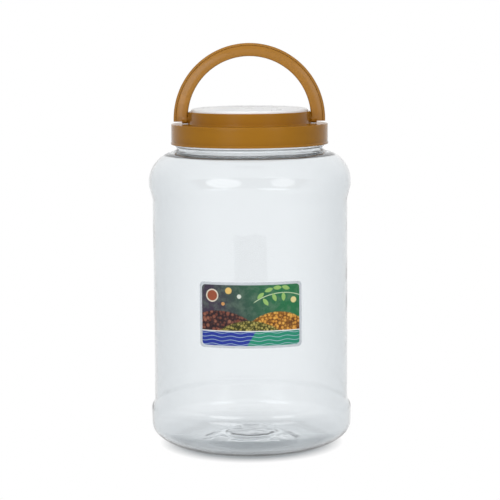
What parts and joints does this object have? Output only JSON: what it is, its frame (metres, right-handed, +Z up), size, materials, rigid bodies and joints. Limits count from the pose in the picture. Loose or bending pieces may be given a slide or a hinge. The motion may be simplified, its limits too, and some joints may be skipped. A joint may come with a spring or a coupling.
{
  "type": "storage jar",
  "caption": "Tall clear round storage jar with a wide neck, a screw ring round a crowned inner lid, a foam seal, a swinging carry handle and a wrap-on label.",
  "frame": {"origin": "middle of the standing ring, on the surface that the jar stands on", "axes": "+Z up the jar's axis; the label faces -Y; the handle's pivot axis runs along X"},
  "size_m": [0.1668, 0.1668, 0.3331],
  "materials": {
    "clear_plastic": "clear, high gloss, blow-moulded",
    "label_film": "printed film, semi-gloss",
    "white_plastic": "smooth, satin, slightly milky",
    "foam": "matt closed-cell foam",
    "tan_plastic": "smooth, semi-gloss, injection-moulded"
  },
  "bodies": {
    "jar": {"jar_body": "clear_plastic", "label": "label_film"},
    "inner_lid": {"inner_lid": "white_plastic", "seal_gasket": "foam"},
    "screw_ring": {"screw_ring": "tan_plastic"},
    "handle": {"handle": "tan_plastic"}
  },
  "joints": [
    {"name": "lid_rise", "type": "slide", "parent": "jar", "child": "inner_lid", "axis": [0, 0, 1], "range_m": [0, 0.0181]},
    {"name": "lid_turn", "type": "hinge", "parent": "inner_lid", "child": "screw_ring", "pos_m": [0, 0, 0.262], "axis": [0, 0, 1], "range_deg": [0, 1080]},
    {"name": "handle_swing", "type": "hinge", "parent": "screw_ring", "child": "handle", "pos_m": [0, 0, 0.27105], "axis": [1, 0, 0], "range_deg": [-90, 90]}
  ],
  "couplings": [
    {"joint": "lid_rise", "follows": "lid_turn", "m_per_rad": 0.00095493}
  ]
}
